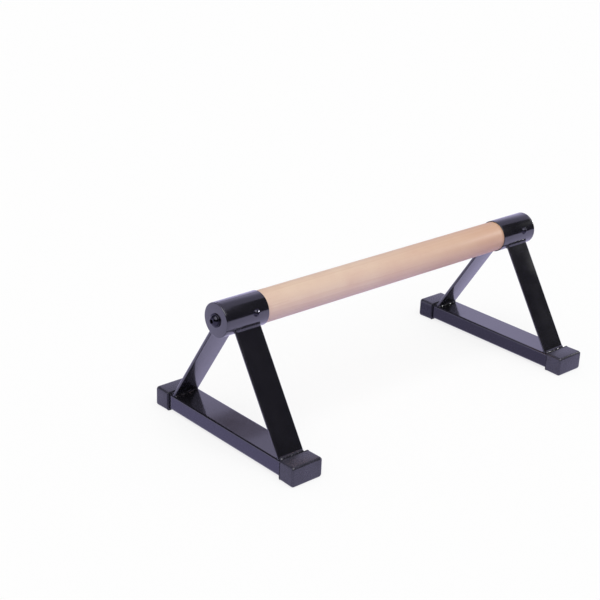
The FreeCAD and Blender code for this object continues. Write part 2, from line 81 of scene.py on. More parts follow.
class Side(Enum):
    """A choice between two sides, by the sign on their axis."""

    @property
    def word(self) -> str:
        """The side's name as the nodes spell it."""
        return self.name.lower()


class End(Side):
    """The two end frames, by the sign of their X."""

    LEFT = -1
    RIGHT = 1


class Face(Side):
    """The two sides of a frame, by the sign of their Y."""

    FRONT = -1
    REAR = 1


class Seam(Enum):
    """Where a leg is welded, by the word in the nodes' names."""

    SLEEVE = "sleeve"
    FOOT = "foot"


class Slot(Enum):
    """The record's material slots that the pieces use."""

    WOOD = "beech"
    STEEL = "black_painted_steel"
    RUBBER = "foot_rubber"
    FASTENER = "blackened_steel"


def linear(code: str) -> tuple[float, float, float, float]:
    """Turns an sRGB hex colour into linear red, green, blue and alpha.

    Args:
        code: Six hex digits after a hash.

    Returns:
        The four linear parts, alpha being 1.
    """
    parts = [int(code[spot:spot + 2], 16) / 255 for spot in (1, 3, 5)]
    # The curve is the one that the sRGB standard gives
    red, green, blue = (
        part / 12.92 if part <= 0.04045 else ((part + 0.055) / 1.055) ** 2.4 for part in parts
    )
    return red, green, blue, 1.0


def per_metre(size_mm: float) -> float:
    """How many features of a size in millimetres fit in a metre, which is a texture's scale."""
    return 1 / (size_mm * MM)


def add_node(tree: NodeTree, kind: str, inputs: dict[Any, Any] | Sequence[Any] = (),
             **settings: Any) -> Node:
    """Adds one node with its settings, values and links.

    Args:
        tree: The tree that gets the node.
        kind: Blender's name for the node's type.
        inputs: What its sockets get, in their order or by name or number: a value, a socket, or a
            node whose first output is linked.
        settings: The node's own properties.

    Returns:
        The new node.
    """
    node = tree.nodes.new(kind)
    for name, value in settings.items():
        setattr(node, name, value)
    for key, value in inputs.items() if isinstance(inputs, dict) else enumerate(inputs):
        if isinstance(value, Node):
            value = value.outputs[0]
        if isinstance(value, NodeSocket):
            tree.links.new(value, node.inputs[key])
        else:
            node.inputs[key].default_value = value
    return node


def new_material(name: str) -> tuple[Material, Adder]:
    """Makes an empty node material.

    Args:
        name: The material's name.

    Returns:
        The material and what adds nodes to it.
    """
    material = bpy.data.materials.new(name)
    material.use_nodes = True
    material.node_tree.nodes.clear()
    return material, partial(add_node, material.node_tree)


# Finishes


@dataclass(frozen=True)
class TurnedBeech:
    """Beech, turned, sanded and thinly oiled: pale, close-grained, softly shiny along its top."""

    early: str = "#e7cdb6"
    late: str = "#e0c2a9"
    fleck: str = "#c79f80"
    heart: str = "#d0a07c"
    blush: str = "#d9b3a0"
    # sizes of the patterns, those of streaks and flecks along and across the grain
    ring_mm: float = 3.4
    waver_mm: float = 4.0
    streak_mm: Span = (160.0, 2.6)
    # ray flecks are a third of this width on the real wood; at that they would not show
    fleck_mm: Span = (7.0, 0.9)
    cloud_mm: float = 34.0
    # the tree's heart lies beside the dowel and askew, so its rings run out in long tongues
    pith_mm: Place = (0.0, 62.0, 118.0)
    pith_tilt: float = 1.6
    # how much of the grain is streaks, and where each colour comes in and how far it goes
    streak_share: float = 0.55
    grain_span: Span = (0.2, 0.8)
    blush_span: Span = (0.35, 0.75)
    blush_most: float = 0.5
    # along the stick: its right end grew nearer the heart, where beech is warmer
    heart_span: Span = (-0.05, 0.24)
    heart_most: float = 0.75
    fleck_span: Span = (0.62, 0.78)
    fleck_most: float = 0.3
    roughness: Span = (0.4, 0.55)
    refraction: float = 1.5
    pore_strength: float = 0.12
    pore_depth: float = 0.08 * MM

    def material(self) -> Material:
        """Builds growth rings, long streaks and short ray flecks on the piece's own coordinates.

        Returns:
            The finished material.
        """
        material, add = new_material("turned_oiled_beech")
        place = add("ShaderNodeTexCoord").outputs["Object"]
        streak_place, fleck_place = (
            add("ShaderNodeMapping", {"Vector": place, "Scale": (
                per_metre(long_way), per_metre(across), per_metre(across))})
            for long_way, across in (self.streak_mm, self.fleck_mm))
        streaks = add("ShaderNodeTexNoise", {
            "Vector": streak_place, "Scale": 1.0, "Detail": 4.0, "Roughness": 0.6})
        flecks = add("ShaderNodeTexNoise", {"Vector": fleck_place, "Scale": 1.0, "Detail": 2.0})
        clouds = add("ShaderNodeTexNoise", {"Vector": place, "Scale": per_metre(self.cloud_mm)})
        tilt, waver = math.radians(self.pith_tilt), self.waver_mm * MM
        heart = add("ShaderNodeMapping", {
            "Vector": place, "Location": tuple(-part * MM for part in self.pith_mm),
            "Rotation": (0.0, tilt, -tilt)})
        wavering = add("ShaderNodeVectorMath", (streaks.outputs["Color"], (0.0, waver, waver)),
                       operation="MULTIPLY")
        rings = add("ShaderNodeTexWave", {
            "Vector": add("ShaderNodeVectorMath", (heart, wavering)),
            "Scale": WAVE_LENGTH / (self.ring_mm * MM), "Distortion": 0.0},
            wave_type="RINGS", rings_direction="X", wave_profile="SAW")
        grain = add("ShaderNodeMix", {
            FACTOR: self.streak_share, NUMBER_A: rings, NUMBER_B: streaks}, data_type="FLOAT")
        lengthwise = add("ShaderNodeSeparateXYZ", (place,))
        colour: Any = linear(self.early)
        for pattern, span, most, tint in (
                (grain, self.grain_span, 1.0, self.late),
                (clouds, self.blush_span, self.blush_most, self.blush),
                (lengthwise, self.heart_span, self.heart_most, self.heart),
                (flecks, self.fleck_span, self.fleck_most, self.fleck)):
            share = add("ShaderNodeMapRange", (pattern, *span, 0.0, most))
            colour = add("ShaderNodeMix", {
                FACTOR: share, COLOUR_A: colour, COLOUR_B: linear(tint)},
                data_type="RGBA").outputs[COLOUR_OUT]
        skin = add("ShaderNodeBsdfPrincipled", {
            "Base Color": colour,
            "Roughness": add("ShaderNodeMapRange", (streaks, *NOISE, *self.roughness)),
            "IOR": self.refraction,
            "Normal": add("ShaderNodeBump", {
                "Strength": self.pore_strength, "Distance": self.pore_depth, "Height": flecks})})
        add("ShaderNodeOutputMaterial", (skin,))
        return material


@dataclass(frozen=True)
class MottledSkin:
    """A skin of two shades, whose tone, gloss and relief each follow a noise of its own size."""

    name: str
    dark: str
    light: str
    roughness: Span
    # each noise by its size in millimetres and its detail
    tone: Span
    gloss: Span
    relief: Span
    # the part of the tone's noise that leads from dark to light
    tone_span: Span
    relief_strength: float
    relief_depth: float

    def constants(self) -> dict[str, float]:
        """The shader's values that are the same all over."""
        return {}

    def material(self) -> Material:
        """Builds the skin on the piece's own coordinates.

        Returns:
            The finished material.
        """
        material, add = new_material(self.name)
        place = add("ShaderNodeTexCoord").outputs["Object"]
        tone, gloss, relief = (
            add("ShaderNodeTexNoise", {
                "Vector": place, "Scale": per_metre(size), "Detail": detail})
            for size, detail in (self.tone, self.gloss, self.relief))
        colour = add("ShaderNodeMix", {
            FACTOR: add("ShaderNodeMapRange", (tone, *self.tone_span)),
            COLOUR_A: linear(self.dark), COLOUR_B: linear(self.light)}, data_type="RGBA")
        skin = add("ShaderNodeBsdfPrincipled", {
            "Base Color": colour.outputs[COLOUR_OUT],
            "Roughness": add("ShaderNodeMapRange", (gloss, *NOISE, *self.roughness)),
            "Normal": add("ShaderNodeBump", {
                "Strength": self.relief_strength, "Distance": self.relief_depth,
                "Height": relief}),
            **self.constants()})
        add("ShaderNodeOutputMaterial", (skin,))
        return material


@dataclass(frozen=True)
class GlossEnamel(MottledSkin):
    """Black enamel sprayed on steel and baked: a deep wet-looking skin, faintly orange-peeled."""

    name: str = "baked_black_enamel"
    dark: str = "#18171c"
    light: str = "#1f1e24"
    roughness: Span = (0.14, 0.24)
    # uneven depth, handling smudges and orange peel
    tone: Span = (16.0, 2.0)
    gloss: Span = (38.0, 3.0)
    relief: Span = (4.0, 2.0)
    tone_span: Span = (0.0, 1.0)
    relief_strength: float = 0.1
    relief_depth: float = 0.05 * MM
    refraction: float = 1.8
    coat: float = 0.8
    coat_roughness: float = 0.06

    def constants(self) -> dict[str, float]:
        """The values of a hard paint under a clear coat."""
        return {"IOR": self.refraction, "Coat Weight": self.coat,
                "Coat Roughness": self.coat_roughness}


@dataclass(frozen=True)
class BeadEnamel(GlossEnamel):
    """The same enamel over a weld, where it lies without the clear coat: its lumps shine less."""

    name: str = "baked_enamel_over_weld"
    roughness: Span = (0.16, 0.24)
    coat: float = 0.0


@dataclass(frozen=True)
class MouldedRubber(MottledSkin):
    """Black rubber from a spark-eroded mould: dull, faintly dusty, with a fine even grain."""

    name: str = "moulded_black_rubber"
    dark: str = "#28272f"
    light: str = "#34333d"
    roughness: Span = (0.22, 0.34)
    # dust, then for gloss and relief the mould's grain: about 0.3 mm, drawn coarser to show
    tone: Span = (14.0, 5.0)
    gloss: Span = (1.3, 3.0)
    relief: Span = (1.3, 3.0)
    tone_span: Span = (0.35, 0.7)
    relief_strength: float = 0.25
    relief_depth: float = 0.12 * MM
    refraction: float = 1.7

    def constants(self) -> dict[str, float]:
        """The values of a skin without a coat."""
        return {"IOR": self.refraction}


@dataclass(frozen=True)
class PlatedSteel(MottledSkin):
    """Turned or cold-headed steel, blackened or zinc plated: metal that keeps its tool marks."""

    # all three are the tool marks, drawn coarser than they are to show at all
    tone: Span = (0.9, 3.0)
    gloss: Span = (0.9, 3.0)
    relief: Span = (0.9, 3.0)
    tone_span: Span = (0.0, 1.0)
    relief_strength: float = 0.1
    relief_depth: float = 0.03 * MM

    def constants(self) -> dict[str, float]:
        """The value of metal."""
        return {"Metallic": 1.0}


@dataclass
class Finishes:
    """The materials of the whole object, made once."""

    wood: Material = field(default_factory=lambda: TurnedBeech().material())
    enamel: Material = field(default_factory=lambda: GlossEnamel().material())
    bead: Material = field(default_factory=lambda: BeadEnamel().material())
    rubber: Material = field(default_factory=lambda: MouldedRubber().material())
    oxide: Material = field(default_factory=lambda: PlatedSteel(
        "black_oxide_steel", dark="#34333a", light="#4a4951", roughness=(0.16, 0.28)).material())
    zinc: Material = field(default_factory=lambda: PlatedSteel(
        "zinc_plated_steel", dark="#a9adb4", light="#bfc3c8", roughness=(0.3, 0.45)).material())


# Mesh building


def arc(centre: Point, radius: float, start: float, stop: float, steps: int) -> list[Point]:
    """Points on a circle's arc.

    Args:
        centre: The circle's centre.
        radius: The circle's radius.
        start: First angle in degrees.
        stop: Last angle in degrees.
        steps: How many chords make the arc.

    Returns:
        The points from start to stop, both included.
    """
    angles = (math.radians(start + (stop - start) * step / steps) for step in range(steps + 1))
    return [(centre[0] + radius * math.cos(angle), centre[1] + radius * math.sin(angle))
            for angle in angles]


def rounded_rectangle(half_wide: float, half_high: float, corner: float,
                      steps: int) -> list[Point]:
    """A rectangle with round corners about the origin.

    Args:
        half_wide: Half its width.
        half_high: Half its height.
        corner: Its corner radius.
        steps: How many chords make a corner.

    Returns:
        Its points, anticlockwise.
    """
    points = []
    for quarter, (across, up) in enumerate(((1, 1), (-1, 1), (-1, -1), (1, -1))):
        centre = (across * (half_wide - corner), up * (half_high - corner))
        points += arc(centre, corner, 90 * quarter, 90 * quarter + 90, steps)
    return points


def polar_ring(outline: Callable[[float], Point], count: int) -> Ring:
    """A closed ring about Z whose radius and height follow the angle.

    Args:
        outline: Gives radius and height for an angle in radians.
        count: How many points the ring has.

    Returns:
        The ring's points.
    """
    ring = []
    for step in range(count):
        angle = 2 * math.pi * step / count
        radius, height = outline(angle)
        ring.append(Vector((radius * math.cos(angle), radius * math.sin(angle), height)))
    return ring


def turned_rings(profile: Iterable[Point], count: int) -> list[Ring]:
    """Level circles about Z, one for each radius and height of a profile."""
    return [polar_ring(lambda angle: corner, count) for corner in profile]


def loft(name: str, rings: Sequence[Ring], wrap: bool = False) -> Mesh:
    """Skins a row of rings that have equal numbers of points.

    Args:
        name: The mesh's name.
        rings: The rings in order.
        wrap: Joins the last ring to the first, as in a tube's wall; otherwise both end rings are
            filled.

    Returns:
        A closed mesh whose faces point outwards.
    """
    shape = bmesh.new()
    rows = [[shape.verts.new(point) for point in ring] for ring in rings]
    followers = rows[1:] + rows[:1] if wrap else rows[1:]
    for row, following in zip(rows, followers):
        for spot in range(len(row)):
            beside = (spot + 1) % len(row)
            shape.faces.new((row[spot], row[beside], following[beside], following[spot]))
    if not wrap:
        shape.faces.new(rows[0])
        shape.faces.new(rows[-1])
    mesh = bpy.data.meshes.new(name)
    settle(shape, mesh)
    mesh.shade_smooth()
    mesh.set_sharp_from_angle(angle=CRISP_EDGE)
    return mesh


def settle(shape: bmesh.types.BMesh, mesh: Mesh) -> None:
    """Turns all faces of an edited shape outwards and stores it in a mesh.

    Args:
        shape: The shape, which is used up.
        mesh: The mesh that gets it.
    """
    bmesh.ops.recalc_face_normals(shape, faces=shape.faces)
    shape.to_mesh(mesh)
    shape.free()


def turn_to(direction: Vector, spot: Vector) -> Matrix:
    """The placement that lays Z along a direction and the origin on a spot."""
    return Matrix.Translation(spot) @ direction.to_track_quat("Z", "Y").to_matrix().to_4x4()


def new_object(name: str, data: bpy.types.ID) -> Object:
    """Puts a new object in the scene.

    Args:
        name: The object's name.
        data: Its mesh, light or camera.

    Returns:
        The object.
    """
    thing = bpy.data.objects.new(name, data)
    bpy.context.scene.collection.objects.link(thing)
    return thing


def add_piece(name: str, mesh: Mesh, material: Material,
              nodes: Iterable[str]) -> None:
    """Puts a finished mesh on the object in place of its CAD nodes.

    Args:
        name: The piece's name.
        mesh: Its mesh, already in place.
        material: Its finish.
        nodes: The CAD nodes that it stands for.
    """
    mesh.name = name
    mesh.materials.clear()
    mesh.materials.append(material)
    piece = new_object(name, mesh)
    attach(piece, BODY)
    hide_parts(*nodes)
    LOG.info("%s: %d faces for %s", name, len(mesh.polygons), ", ".join(nodes))


def dress_node(name: str, material: Material) -> None:
    """Gives a CAD node that stays in view its finish.

    Args:
        name: The node's name.
        material: Its finish.
    """
    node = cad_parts[name]
    node.data.materials.clear()
    node.data.materials.append(material)
    LOG.info("%s: kept as modelled, in %s", name, material.name)


# Geometry node trees


def grow(name: str, tree: NodeTree, points: Mesh, values: dict[str, Any]) -> Mesh:
    """Runs a geometry tree on a few points and keeps the result as a plain mesh.

    Args:
        name: The result's name.
        tree: The geometry tree.
        points: The mesh of points that the tree starts from.
        values: The tree's named inputs.

    Returns:
        The grown mesh.
    """
    seed_object = new_object(f"{name}_points", points)
    modifier = seed_object.modifiers.new("grow", "NODES")
    modifier.node_group = tree
    for item in tree.interface.items_tree:
        if item.item_type == "SOCKET" and item.in_out == "INPUT" and item.name in values:
            modifier[item.identifier] = values[item.name]
    seed_object.update_tag()
    depsgraph = bpy.context.evaluated_depsgraph_get()
    grown = seed_object.evaluated_get(depsgraph)
    mesh = bpy.data.meshes.new_from_object(grown, depsgraph=depsgraph)
    seed_object.modifiers.remove(modifier)
    bpy.data.objects.remove(seed_object)
    return mesh


def new_tree(name: str, inputs: Sequence[tuple[str, str]]
             ) -> tuple[NodeTree, Adder, dict[str, NodeSocket]]:
    """Makes a geometry tree with a geometry input and output and further named inputs.

    Args:
        name: The tree's name.
        inputs: Name and socket type of each further input.

    Returns:
        The tree, what adds nodes to it, and what it is given, by name.
    """
    tree = bpy.data.node_groups.new(name, "GeometryNodeTree")
    for label, kind in (("Geometry", "NodeSocketGeometry"), *inputs):
        tree.interface.new_socket(label, in_out="INPUT", socket_type=kind)
    tree.interface.new_socket("Geometry", in_out="OUTPUT", socket_type="NodeSocketGeometry")
    add = partial(add_node, tree)
    return tree, add, {socket.name: socket for socket in add("NodeGroupInput").outputs}


def point_mesh(name: str, spots: Sequence[Vector], **arrows: Sequence[Vector]) -> Mesh:
    """A mesh of loose points that carry named vectors.

    Args:
        name: The mesh's name.
        spots: Where the points are.
        arrows: For each named attribute, one vector a point.

    Returns:
        The mesh.
    """
    mesh = bpy.data.meshes.new(name)
    mesh.from_pydata([tuple(spot) for spot in spots], [], [])
    for label, vectors in arrows.items():
        attribute = mesh.attributes.new(label, "FLOAT_VECTOR", "POINT")
        attribute.data.foreach_set("vector", [part for vector in vectors for part in vector])
    return mesh


def set_out_tree() -> NodeTree:
    """Builds the tree that sets one template out on every point, turned by the point's angles.

    Returns:
        The geometry tree.
    """
    tree, add, given = new_tree("set_out_fasteners", [
        ("Template", "NodeSocketObject"), ("Material", "NodeSocketMaterial")])
    template = add("GeometryNodeObjectInfo", {"Object": given["Template"]})
    turn = add("GeometryNodeInputNamedAttribute", {"Name": "turn"}, data_type="FLOAT_VECTOR")
    copies = add("GeometryNodeInstanceOnPoints", {
        "Points": given["Geometry"], "Instance": template.outputs["Geometry"],
        "Rotation": add("FunctionNodeEulerToRotation", (turn,))})
    solid = add("GeometryNodeRealizeInstances", (copies,))
    dressed = add("GeometryNodeSetMaterial", {
        "Geometry": solid, "Material": given["Material"]})
    add("NodeGroupOutput", (dressed,))
    return tree


# How far apart on the noise of the welder's pace two runs may start
PACE_SPREAD = 50.0
# How much that pace shifts the ripples, how far a ripple's toes lag behind its middle, and how
# much of the face's hollows shows along the toes
HURRY, LAG, NIBBLE = 1.6, -0.6, 0.3
# A bead's shape, one sum a line: its name, what is done, and the names or numbers it is done with
BEAD_SUMS: tuple[tuple[str | float, ...], ...] = (
    # the way from toe to toe, and how near the bead's middle that is
    ("lap", "MULTIPLY_ADD", "around", 2.0, -1.0),
    ("behind", "ABSOLUTE", "lap"),
    ("way", "SUBTRACT", 1.0, "behind"),
    ("lean", "MULTIPLY_ADD", "way", 2.0, -1.0),
    ("aside", "ABSOLUTE", "lean"),
    ("aside_squared", "POWER", "aside", 2.0),
    ("middle", "SUBTRACT", 1.0, "aside_squared"),
    # each ripple is a crescent, whose middle runs ahead of its toes, and no two are equally long
    ("travel", "MULTIPLY", "along", "Run"),
    ("ripples", "DIVIDE", "travel", "Pitch"),
    ("started", "ADD", "ripples", "shift"),
    ("hurried", "MULTIPLY_ADD", "swell", HURRY, "started"),
    ("phase", "MULTIPLY_ADD", "aside_squared", LAG, "hurried"),
    ("turn", "MULTIPLY", "phase", math.pi),
    ("wave", "SINE", "turn"),
    ("crest", "ABSOLUTE", "wave"),
    ("trough", "SUBTRACT", 1.0, "crest"),
    # the face sinks by its own flatness, by the welder's uneven pace and between the ripples
    ("uneven", "MULTIPLY_ADD", "swell", "Lumps", "Flatness"),
    ("loss", "MULTIPLY_ADD", "trough", "Ripple", "uneven"),
    ("sunk", "MULTIPLY", "loss", "middle"),
    ("face", "SUBTRACT", 1.0, "sunk"),
    # half the way round lies on the face, and the other half goes back by the root
    ("outside", "LESS_THAN", "around", 0.5),
    ("inside", "SUBTRACT", 1.0, "outside"),
    ("back", "MULTIPLY", "aside", "inside"),
    ("reach", "MULTIPLY_ADD", "face", "outside", "back"),
    # both ends of the run are rounded off
    ("off_centre", "SUBTRACT", "along", 0.5),
    ("from_centre", "ABSOLUTE", "off_centre"),
    ("to_end", "SUBTRACT", 0.5, "from_centre"),
    ("room", "MULTIPLY", "to_end", "Run"),
    ("rise", "DIVIDE", "room", "Rounding"),
    ("risen", "MINIMUM", "rise", 1.0),
    ("missing", "SUBTRACT", 1.0, "risen"),
    ("missing_squared", "POWER", "missing", 2.0),
    ("kept_squared", "SUBTRACT", 1.0, "missing_squared"),
    ("taper", "SQRT", "kept_squared"),
    # the ripples scallop the toes a little
    ("nibble", "MULTIPLY", "loss", NIBBLE),
    ("scallop", "SUBTRACT", 1.0, "nibble"),
    ("left", "MULTIPLY", "taper", "scallop"),
    # how far out of the root, as a share of the bead's size, and how far along the run
    ("share", "MULTIPLY", "reach", "left"),
    ("forward", "MULTIPLY", "off_centre", "Run"),
)


def weld_tree() -> NodeTree:
    """Builds the tree that lays a rippled fillet weld along X at every point.

    Each point is the root of a run and carries the two toes as vectors. A grid gives the place
    along the run and the place round the bead: out from one toe over the face to the other, and
    back by the root.

    Returns:
        The geometry tree.
    """
    numbers = ("Run", "Pitch", "Ripple", "Flatness", "Lumps", "Swells", "Rounding")
    counts = ("Seed", "Stations", "Round")
    tree, add, given = new_tree("lay_weld_runs", [
        *((label, "NodeSocketFloat") for label in numbers),
        *((label, "NodeSocketInt") for label in counts), ("Material", "NodeSocketMaterial")])
    place = add("GeometryNodeInputPosition")
    # The grid lies about zero, so half its size makes its places run from nought to one
    shares = add("ShaderNodeSeparateXYZ", (
        add("ShaderNodeVectorMath", (place, (0.5, 0.5, 0.0))),))
    cloth = add("GeometryNodeMeshGrid", {
        "Size X": 1.0, "Size Y": 1.0,
        "Vertices X": given["Stations"], "Vertices Y": given["Round"]})
    for label, share in zip(("along", "around"), shares.outputs):
        cloth = add("GeometryNodeStoreNamedAttribute", {
            "Geometry": cloth, "Name": label, "Value": share}, data_type="FLOAT", domain="POINT")
    chance = add("FunctionNodeRandomValue", {"Seed": given["Seed"]}, data_type="FLOAT")
    points: Any = given["Geometry"]
    for label, kind, value in (
            ("root", "FLOAT_VECTOR", place), ("shift", "FLOAT", chance.outputs[1])):
        points = add("GeometryNodeStoreNamedAttribute", {
            "Geometry": points, "Name": label, "Value": value}, data_type=kind, domain="POINT")
    # The copies become real early, since each run gets a shape of its own
    runs = add("GeometryNodeRealizeInstances", (
        add("GeometryNodeInstanceOnPoints", {"Points": points, "Instance": cloth}),))
    found: dict[Any, Any] = {label: given[label] for label in numbers}
    for kind, labels in (("FLOAT", ("along", "around", "shift")),
                         ("FLOAT_VECTOR", ("root", "toe_a", "toe_b"))):
        for label in labels:
            found[label] = add(
                "GeometryNodeInputNamedAttribute", {"Name": label}, data_type=kind)
    # The hand that laid it slowed and hurried, in its own way on each run
    pace = add("ShaderNodeMath", (found["shift"], PACE_SPREAD, found["along"]),
               operation="MULTIPLY_ADD")
    found["swell"] = add("ShaderNodeTexNoise", {
        "W": pace, "Scale": given["Swells"], "Detail": 1.0}, noise_dimensions="1D")
    for name, operation, *terms in BEAD_SUMS:
        found[name] = add(
            "ShaderNodeMath", [found.get(term, term) for term in terms], operation=operation)
    size = add("ShaderNodeVectorMath", (found["toe_a"],), operation="LENGTH").outputs["Value"]
    between = add("ShaderNodeMix", {
        FACTOR: found["way"], VECTOR_A: found["toe_a"], VECTOR_B: found["toe_b"]},
        data_type="VECTOR").outputs[VECTOR_OUT]
    section = add("ShaderNodeVectorMath", {
        0: add("ShaderNodeVectorMath", (between,), operation="NORMALIZE"),
        "Scale": add("ShaderNodeMath", (size, found["share"]), operation="MULTIPLY")},
        operation="SCALE")
    along_root = add("ShaderNodeVectorMath", (
        found["root"], add("ShaderNodeCombineXYZ", (found["forward"],))))
    laid = add("GeometryNodeSetPosition", {
        "Geometry": runs, "Position": add("ShaderNodeVectorMath", (along_root, section))})
    closed = add("GeometryNodeMergeByDistance", {"Geometry": laid, "Distance": SAME_POINT})
    smooth = add("GeometryNodeSetShadeSmooth", {"Geometry": closed})
    dressed = add("GeometryNodeSetMaterial", {
        "Geometry": smooth, "Material": given["Material"]})
    add("NodeGroupOutput", (dressed,))
    return tree


# Sub-assemblies


@dataclass
class Grip:
    """The wooden dowel between the sleeves."""

    finishes: Finishes
    radius: float = 20 * MM
    edge: float = 1 * MM
    edge_steps: int = 4
    facets: int = 160

    def build(self) -> Mesh:
        """Turns the dowel with eased ends, in place.

        Returns:
            The dowel's mesh.
        """
        low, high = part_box("grip_bar")
        half = (high.x - low.x) / 2
        centre = (self.radius - self.edge, half - self.edge)
        eased = arc(centre, self.edge, 90, 0, self.edge_steps)
        profile = [(radius, -height) for radius, height in eased] + eased[::-1]
        mesh = loft("dowel", turned_rings(profile, self.facets))
        mesh.transform(turn_to(Vector((1, 0, 0)), (low + high) / 2))
        return mesh

    def dress(self) -> None:
        """Puts the dowel on the object."""
        add_piece("grip_dowel", self.build(), self.finishes.wood, ["grip_bar"])


@dataclass
class EndFrame:
    """One welded end: sleeve, end disc, legs, rail, foot caps and welds."""

    end: End
    finishes: Finishes
    welding: NodeTree
    facets: int = 144
    # sleeve and disc
    sleeve_radius: float = 21.2 * MM
    sleeve_bore: float = 20.2 * MM
    sleeve_edge: float = 0.45 * MM
    sleeve_edge_steps: int = 5
    disc_hole: float = 4.25 * MM
    disc_round: float = 1 * MM
    disc_round_steps: int = 7
    seam: float = 0.3 * MM
    seam_steps: int = 3
    # foot cap
    cap_wall: float = 3 * MM
    cap_cover: float = 21 * MM
    cap_corner: float = 4 * MM
    cap_round: float = 3.2 * MM
    cap_round_steps: int = 8
    cap_lip: float = 0.5 * MM
    cap_lip_steps: int = 3
    # leg
    axis_height: float = 165 * MM
    rail_top: float = 23 * MM
    foot_reach: float = 102.7 * MM
    crown_reach: float = 12.2 * MM
    leg_thickness: float = 4 * MM
    leg_width: float = 38 * MM
    leg_edge: float = 1.9 * MM
    leg_edge_steps: int = 6
    # weld; its face sinks by ripple, flatness and up to about two thirds of lumps, which stays
    # below half the bead's size in all: deeper, it would fall behind the root near the toes
    weld_size: float = 3.8 * MM
    weld_run: float = 36.4 * MM
    weld_pitch: float = 3.6 * MM
    weld_ripple: dict[Seam, float] = field(default_factory=lambda: {
        Seam.SLEEVE: 0.11, Seam.FOOT: 0.02})
    weld_flatness: float = 0.06
    weld_lumps: float = 0.44
    weld_swells: float = 2.6
    weld_rounding: float = 2.4 * MM
    weld_stations: int = 121
    weld_facets: int = 25
    weld_seeds: dict[tuple[Seam, End], int] = field(default_factory=lambda: {
        (Seam.SLEEVE, End.LEFT): 2, (Seam.SLEEVE, End.RIGHT): 4,
        (Seam.FOOT, End.LEFT): 7, (Seam.FOOT, End.RIGHT): 12})

    def turned(self, node: str, profile: Sequence[Point]) -> Mesh:
        """Turns a closed wall about the grip's axis, heights going out from the inner face.

        Args:
            node: The CAD node that gives the place.
            profile: Radius and height of the wall's corners, in order round it.

        Returns:
            The wall's mesh.
        """
        low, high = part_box(node)
        inner = low if self.end is End.RIGHT else high
        spot = Vector((inner.x, 0, (low.z + high.z) / 2))
        mesh = loft(node, turned_rings(profile, self.facets), wrap=True)
        mesh.transform(turn_to(Vector((self.end.value, 0, 0)), spot))
        return mesh

    def sleeve(self) -> Mesh:
        """The tube over the grip's end, its mouth eased and a fine seam left towards the disc.

        Returns:
            The sleeve's mesh.
        """
        node = f"{self.end.word}_sleeve"
        low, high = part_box(node)
        length, outer, bore = high.x - low.x, self.sleeve_radius, self.sleeve_bore
        edge, seam = self.sleeve_edge, self.seam
        profile = arc((outer - edge, edge), edge, 270, 360, self.sleeve_edge_steps)
        profile += [(outer, length - seam), (outer - seam, length), (bore, length)]
        profile += arc((bore + seam, seam), seam, 180, 270, self.seam_steps)
        return self.turned(node, profile)

    def disc(self) -> Mesh:
        """The plate that closes the sleeve, with a rounded rim.

        Returns:
            The disc's mesh.
        """
        node = f"{self.end.word}_end_plate"
        low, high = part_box(node)
        thick, outer, rim = high.x - low.x, self.sleeve_radius, self.disc_round
        profile = [(self.disc_hole, 0.0), (outer - self.seam, 0.0), (outer, self.seam)]
        profile += arc((outer - rim, thick - rim), rim, 0, 90, self.disc_round_steps)
        profile += [(self.disc_hole + self.seam, thick), (self.disc_hole, thick - self.seam)]
        return self.turned(node, profile)

    def cap(self, face: Face) -> Mesh:
        """A moulded foot cap: rounded block with the pocket that the rail slips into.

        Args:
            face: Which end of the rail it is on.

        Returns:
            The cap's mesh.
        """
        low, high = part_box(f"{self.end.word}_{face.word}_foot_cap")
        size, centre = high - low, (low + high) / 2
        lip, wall, bend = self.cap_lip, self.cap_wall, self.cap_round
        # How far in and how deep, from the pocket's floor out over the lip to the closed end
        steps = [(wall, self.cap_cover), (wall, lip / 2), (wall - lip / 2, 0.0)]
        lip_arc = arc((lip, lip), lip, 180, 270, self.cap_lip_steps)
        steps += [(inset, depth) for depth, inset in lip_arc][::-1]
        end_arc = arc((0.0, size.y - bend), bend, 0, 90, self.cap_round_steps)
        steps += [(bend - across, depth) for across, depth in end_arc]
        rings = []
        for inset, depth in steps:
            corner = max(self.cap_corner - inset, self.cap_lip)
            outline = rounded_rectangle(
                size.x / 2 - inset, size.z / 2 - inset, corner, self.cap_round_steps)
            rings.append([Vector((across, up, depth)) for across, up in outline])
        mesh = loft("cap", rings)
        mouth = low.y if face is Face.REAR else high.y
        upright = Matrix(((-face.value, 0, 0), (0, 0, face.value), (0, 1, 0))).to_4x4()
        mesh.transform(Matrix.Translation((centre.x, mouth, centre.z)) @ upright)
        return mesh

    def leans(self) -> Place:
        """The leg's lean from upright.

        Returns:
            Its sine, its cosine and the distance of its outer face from the grip's axis.
        """
        spread, rise = self.foot_reach - self.crown_reach, self.axis_height - self.rail_top
        along = math.hypot(spread, rise)
        return spread / along, rise / along, self.crown_reach * rise / along

    def leg(self, face: Face) -> Mesh:
        """A flat bar with rolled edges, its foot cut to the rail's top and its head to the sleeve.

        Args:
            face: Which side of the frame it leans to.

        Returns:
            The leg's mesh.
        """
        sine, cosine, outer = self.leans()
        low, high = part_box(f"{self.end.word}_{face.word}_leg")
        middle = (low.x + high.x) / 2
        section = rounded_rectangle(
            self.leg_width / 2, self.leg_thickness / 2, self.leg_edge, self.leg_edge_steps)
        foot, head = [], []
        for across, deep in section:
            # Measured from the grip's axis: sideways to the bar's fibre, then down along it
            offset = outer - self.leg_thickness / 2 + deep
            reach = math.sqrt(self.sleeve_radius ** 2 - offset ** 2)
            full = (self.axis_height - self.rail_top + offset * sine) / cosine
            for ring, down in ((foot, full), (head, reach)):
                ring.append(Vector((middle + across, face.value * (down * sine + offset * cosine),
                                    self.axis_height - down * cosine + offset * sine)))
        return loft("leg", [foot, head])

